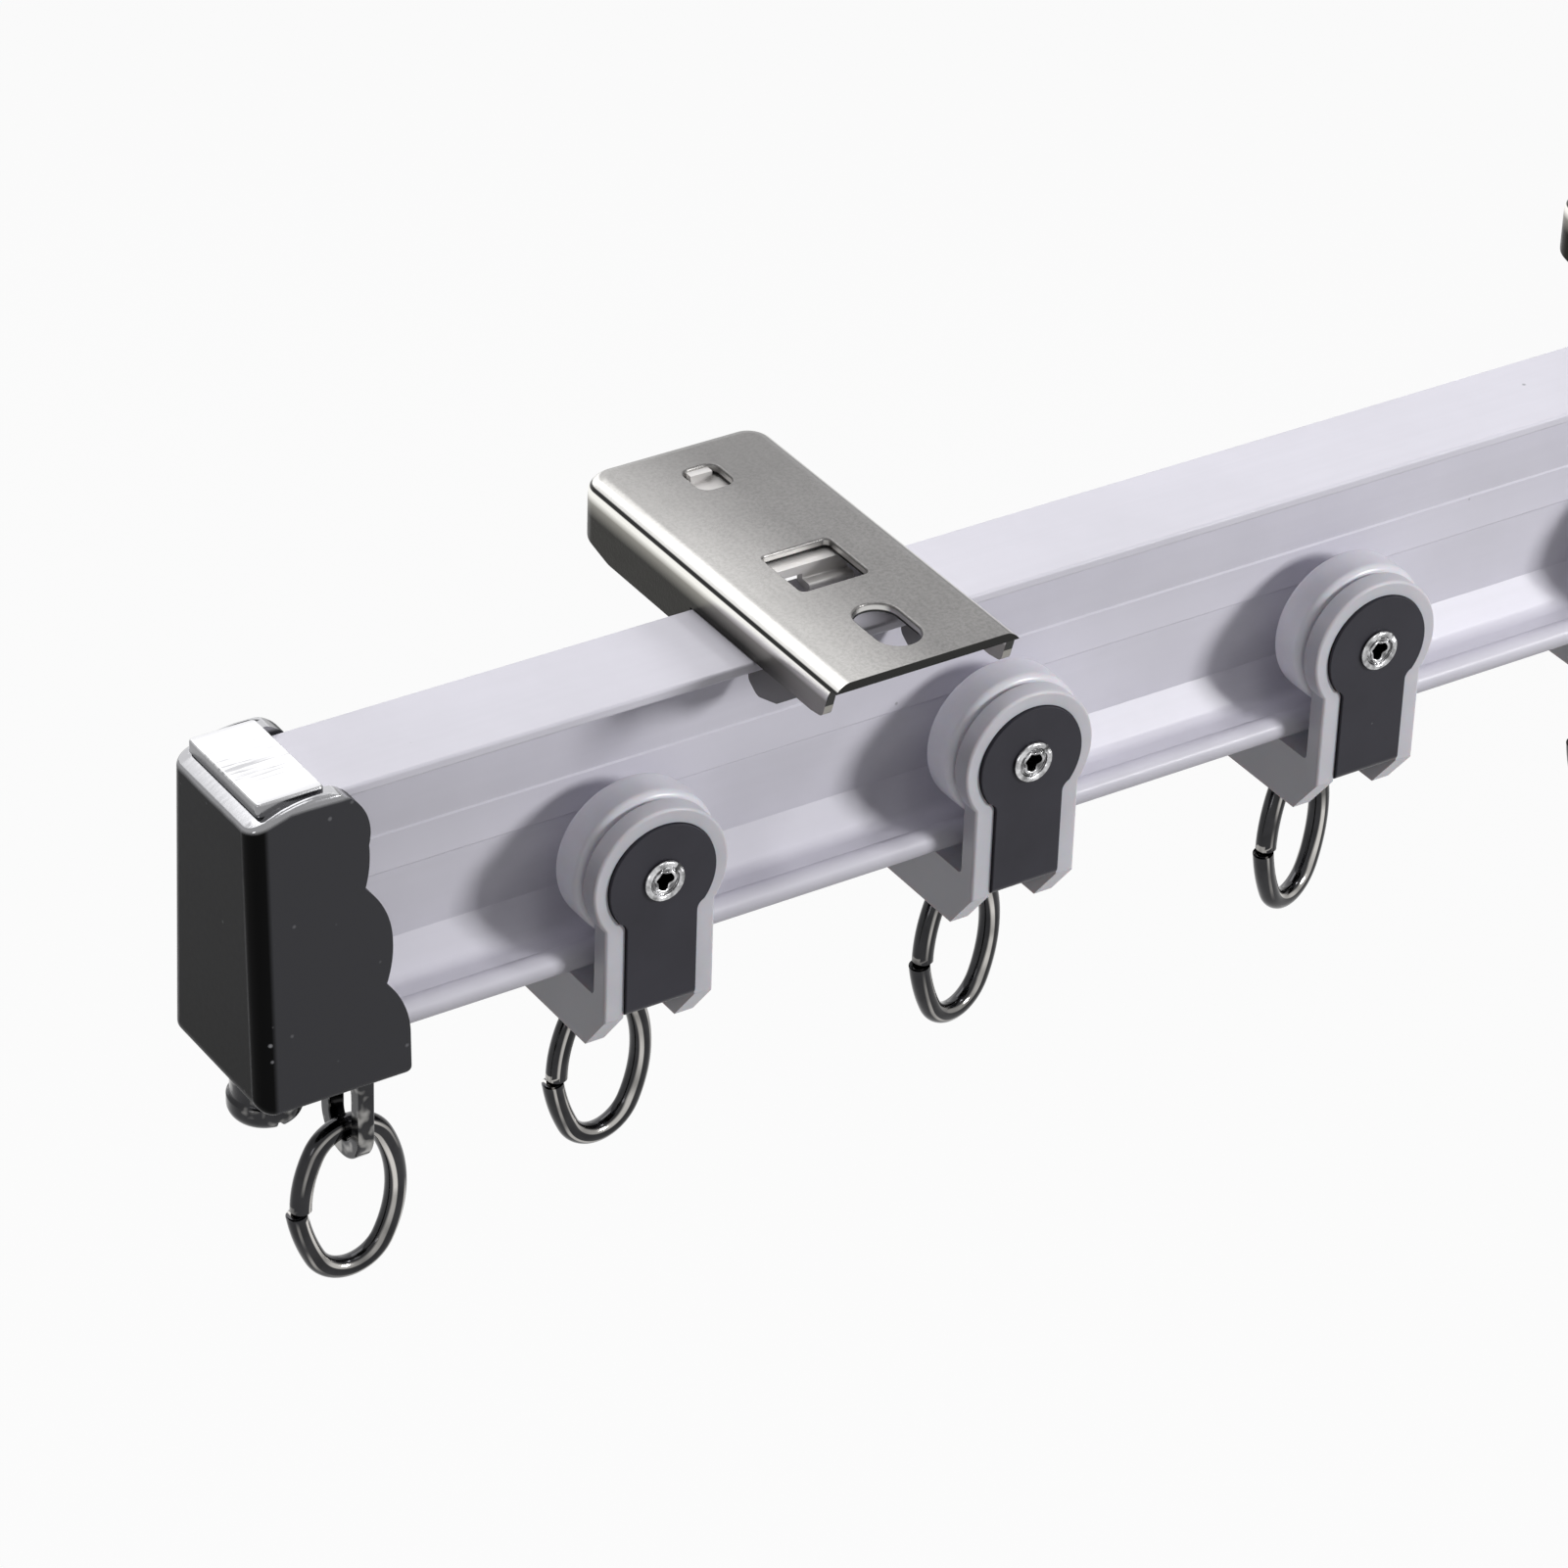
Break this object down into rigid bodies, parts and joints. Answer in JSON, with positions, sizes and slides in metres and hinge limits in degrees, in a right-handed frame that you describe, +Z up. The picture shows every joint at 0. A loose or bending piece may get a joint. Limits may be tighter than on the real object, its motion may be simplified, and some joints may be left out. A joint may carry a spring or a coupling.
{
  "type": "room divider track",
  "caption": "Ceiling track for a room divider curtain: I-section rail in snap brackets, roller runners with swivel rings, and end caps with rings.",
  "frame": {"origin": "in the plane of the brackets' ceiling faces, at the middle of the rail's length and of its width", "axes": "+X along the rail toward the right end cap, +Y across the rail toward the brackets' closed back ends, +Z up toward the ceiling"},
  "size_m": [0.264, 0.0486, 0.0676],
  "materials": {
    "rail_paint": "satin white powder coat on extruded aluminium",
    "cap_black": "black nickel plated casting, glossy",
    "black_chrome": "black nickel plated steel, glossy",
    "bracket_nickel": "satin nickel plated pressed sheet",
    "latch_nickel": "nickel plated pressed sheet",
    "nylon_frame": "milky nylon",
    "nylon_wheel": "milky nylon, polished by running",
    "strap_grey": "dark grey satin steel strip",
    "rivet_bright": "bright hollow rivet"
  },
  "bodies": {
    "track": {"rail": "rail_paint", "end_cap_left": "cap_black", "clamp_screw_left": "black_chrome", "bracket_left": "bracket_nickel", "end_cap_right": "cap_black", "clamp_screw_right": "black_chrome", "bracket_right": "bracket_nickel"},
    "cap_eye_left": {"cap_eye_left": "black_chrome"},
    "cap_ring_left": {"cap_ring_left": "black_chrome"},
    "latch_left": {"latch_left": "latch_nickel"},
    "cap_eye_right": {"cap_eye_right": "black_chrome"},
    "cap_ring_right": {"cap_ring_right": "black_chrome"},
    "latch_right": {"latch_right": "latch_nickel"},
    "runner_1": {"runner_1_yoke": "nylon_frame", "runner_1_strap": "strap_grey", "runner_1_rivet_front": "rivet_bright", "runner_1_rivet_back": "rivet_bright"},
    "runner_1_wheel_front": {"runner_1_wheel_front": "nylon_wheel"},
    "runner_1_wheel_back": {"runner_1_wheel_back": "nylon_wheel"},
    "runner_1_eye": {"runner_1_eye": "black_chrome"},
    "runner_1_ring": {"runner_1_ring": "black_chrome"},
    "runner_2": {"runner_2_yoke": "nylon_frame", "runner_2_strap": "strap_grey", "runner_2_rivet_front": "rivet_bright", "runner_2_rivet_back": "rivet_bright"},
    "runner_2_wheel_front": {"runner_2_wheel_front": "nylon_wheel"},
    "runner_2_wheel_back": {"runner_2_wheel_back": "nylon_wheel"},
    "runner_2_eye": {"runner_2_eye": "black_chrome"},
    "runner_2_ring": {"runner_2_ring": "black_chrome"},
    "runner_3": {"runner_3_yoke": "nylon_frame", "runner_3_strap": "strap_grey", "runner_3_rivet_front": "rivet_bright", "runner_3_rivet_back": "rivet_bright"},
    "runner_3_wheel_front": {"runner_3_wheel_front": "nylon_wheel"},
    "runner_3_wheel_back": {"runner_3_wheel_back": "nylon_wheel"},
    "runner_3_eye": {"runner_3_eye": "black_chrome"},
    "runner_3_ring": {"runner_3_ring": "black_chrome"},
    "runner_4": {"runner_4_yoke": "nylon_frame", "runner_4_strap": "strap_grey", "runner_4_rivet_front": "rivet_bright", "runner_4_rivet_back": "rivet_bright"},
    "runner_4_wheel_front": {"runner_4_wheel_front": "nylon_wheel"},
    "runner_4_wheel_back": {"runner_4_wheel_back": "nylon_wheel"},
    "runner_4_eye": {"runner_4_eye": "black_chrome"},
    "runner_4_ring": {"runner_4_ring": "black_chrome"},
    "runner_5": {"runner_5_yoke": "nylon_frame", "runner_5_strap": "strap_grey", "runner_5_rivet_front": "rivet_bright", "runner_5_rivet_back": "rivet_bright"},
    "runner_5_wheel_front": {"runner_5_wheel_front": "nylon_wheel"},
    "runner_5_wheel_back": {"runner_5_wheel_back": "nylon_wheel"},
    "runner_5_eye": {"runner_5_eye": "black_chrome"},
    "runner_5_ring": {"runner_5_ring": "black_chrome"}
  },
  "joints": [
    {"name": "cap_eye_left_swivel", "type": "hinge", "parent": "track", "child": "cap_eye_left", "pos_m": [-0.1173, 0, -0.0379], "axis": [0, 0, 1], "continuous": true},
    {"name": "cap_ring_left_swing", "type": "hinge", "parent": "cap_eye_left", "child": "cap_ring_left", "pos_m": [-0.1173, 0, -0.04897], "axis": [1, 0, 0], "range_deg": [-60, 60]},
    {"name": "latch_left_slide", "type": "slide", "parent": "track", "child": "latch_left", "axis": [0, -1, 0], "range_m": [0, 0.0035]},
    {"name": "cap_eye_right_swivel", "type": "hinge", "parent": "track", "child": "cap_eye_right", "pos_m": [0.1173, 0, -0.0379], "axis": [0, 0, 1], "continuous": true},
    {"name": "cap_ring_right_swing", "type": "hinge", "parent": "cap_eye_right", "child": "cap_ring_right", "pos_m": [0.1173, 0, -0.04897], "axis": [1, 0, 0], "range_deg": [-60, 60]},
    {"name": "latch_right_slide", "type": "slide", "parent": "track", "child": "latch_right", "axis": [0, -1, 0], "range_m": [0, 0.0035]},
    {"name": "runner_1_slide", "type": "slide", "parent": "track", "child": "runner_1", "axis": [1, 0, 0], "range_m": [-0.013, 0.026]},
    {"name": "runner_1_wheel_front_spin", "type": "hinge", "parent": "runner_1", "child": "runner_1_wheel_front", "pos_m": [-0.088, -0.0065, -0.0227], "axis": [0, 1, 0], "continuous": true},
    {"name": "runner_1_wheel_back_spin", "type": "hinge", "parent": "runner_1", "child": "runner_1_wheel_back", "pos_m": [-0.088, 0.0065, -0.0227], "axis": [0, 1, 0], "continuous": true},
    {"name": "runner_1_eye_swivel", "type": "hinge", "parent": "runner_1", "child": "runner_1_eye", "pos_m": [-0.088, 0, -0.0379], "axis": [0, 0, 1], "continuous": true},
    {"name": "runner_1_ring_swing", "type": "hinge", "parent": "runner_1_eye", "child": "runner_1_ring", "pos_m": [-0.088, 0, -0.04275], "axis": [0.9925, 0.1219, 0], "range_deg": [-40, 40]},
    {"name": "runner_2_slide", "type": "slide", "parent": "track", "child": "runner_2", "axis": [1, 0, 0], "range_m": [-0.026, 0.026]},
    {"name": "runner_2_wheel_front_spin", "type": "hinge", "parent": "runner_2", "child": "runner_2_wheel_front", "pos_m": [-0.044, -0.0065, -0.0227], "axis": [0, 1, 0], "continuous": true},
    {"name": "runner_2_wheel_back_spin", "type": "hinge", "parent": "runner_2", "child": "runner_2_wheel_back", "pos_m": [-0.044, 0.0065, -0.0227], "axis": [0, 1, 0], "continuous": true},
    {"name": "runner_2_eye_swivel", "type": "hinge", "parent": "runner_2", "child": "runner_2_eye", "pos_m": [-0.044, 0, -0.0379], "axis": [0, 0, 1], "continuous": true},
    {"name": "runner_2_ring_swing", "type": "hinge", "parent": "runner_2_eye", "child": "runner_2_ring", "pos_m": [-0.044, 0, -0.04275], "axis": [0.9613, 0.2756, 0], "range_deg": [-40, 40]},
    {"name": "runner_3_slide", "type": "slide", "parent": "track", "child": "runner_3", "axis": [1, 0, 0], "range_m": [-0.026, 0.026]},
    {"name": "runner_3_wheel_front_spin", "type": "hinge", "parent": "runner_3", "child": "runner_3_wheel_front", "pos_m": [0, -0.0065, -0.0227], "axis": [0, 1, 0], "continuous": true},
    {"name": "runner_3_wheel_back_spin", "type": "hinge", "parent": "runner_3", "child": "runner_3_wheel_back", "pos_m": [0, 0.0065, -0.0227], "axis": [0, 1, 0], "continuous": true},
    {"name": "runner_3_eye_swivel", "type": "hinge", "parent": "runner_3", "child": "runner_3_eye", "pos_m": [0, 0, -0.0379], "axis": [0, 0, 1], "continuous": true},
    {"name": "runner_3_ring_swing", "type": "hinge", "parent": "runner_3_eye", "child": "runner_3_ring", "pos_m": [0, 0, -0.04275], "axis": [0.9272, 0.3746, 0], "range_deg": [-40, 40]},
    {"name": "runner_4_slide", "type": "slide", "parent": "track", "child": "runner_4", "axis": [1, 0, 0], "range_m": [-0.026, 0.026]},
    {"name": "runner_4_wheel_front_spin", "type": "hinge", "parent": "runner_4", "child": "runner_4_wheel_front", "pos_m": [0.044, -0.0065, -0.0227], "axis": [0, 1, 0], "continuous": true},
    {"name": "runner_4_wheel_back_spin", "type": "hinge", "parent": "runner_4", "child": "runner_4_wheel_back", "pos_m": [0.044, 0.0065, -0.0227], "axis": [0, 1, 0], "continuous": true},
    {"name": "runner_4_eye_swivel", "type": "hinge", "parent": "runner_4", "child": "runner_4_eye", "pos_m": [0.044, 0, -0.0379], "axis": [0, 0, 1], "continuous": true},
    {"name": "runner_4_ring_swing", "type": "hinge", "parent": "runner_4_eye", "child": "runner_4_ring", "pos_m": [0.044, 0, -0.04275], "axis": [0.9703, 0.2419, 0], "range_deg": [-40, 40]},
    {"name": "runner_5_slide", "type": "slide", "parent": "track", "child": "runner_5", "axis": [1, 0, 0], "range_m": [-0.026, 0.013]},
    {"name": "runner_5_wheel_front_spin", "type": "hinge", "parent": "runner_5", "child": "runner_5_wheel_front", "pos_m": [0.088, -0.0065, -0.0227], "axis": [0, 1, 0], "continuous": true},
    {"name": "runner_5_wheel_back_spin", "type": "hinge", "parent": "runner_5", "child": "runner_5_wheel_back", "pos_m": [0.088, 0.0065, -0.0227], "axis": [0, 1, 0], "continuous": true},
    {"name": "runner_5_eye_swivel", "type": "hinge", "parent": "runner_5", "child": "runner_5_eye", "pos_m": [0.088, 0, -0.0379], "axis": [0, 0, 1], "continuous": true},
    {"name": "runner_5_ring_swing", "type": "hinge", "parent": "runner_5_eye", "child": "runner_5_ring", "pos_m": [0.088, 0, -0.04275], "axis": [0.9945, 0.1045, 0], "range_deg": [-40, 40]}
  ],
  "couplings": [
    {"joint": "runner_1_wheel_front_spin", "follows": "runner_1_slide", "rad_per_m": 120.48},
    {"joint": "runner_1_wheel_back_spin", "follows": "runner_1_slide", "rad_per_m": 120.48},
    {"joint": "runner_2_wheel_front_spin", "follows": "runner_2_slide", "rad_per_m": 120.48},
    {"joint": "runner_2_wheel_back_spin", "follows": "runner_2_slide", "rad_per_m": 120.48},
    {"joint": "runner_3_wheel_front_spin", "follows": "runner_3_slide", "rad_per_m": 120.48},
    {"joint": "runner_3_wheel_back_spin", "follows": "runner_3_slide", "rad_per_m": 120.48},
    {"joint": "runner_4_wheel_front_spin", "follows": "runner_4_slide", "rad_per_m": 120.48},
    {"joint": "runner_4_wheel_back_spin", "follows": "runner_4_slide", "rad_per_m": 120.48},
    {"joint": "runner_5_wheel_front_spin", "follows": "runner_5_slide", "rad_per_m": 120.48},
    {"joint": "runner_5_wheel_back_spin", "follows": "runner_5_slide", "rad_per_m": 120.48}
  ]
}
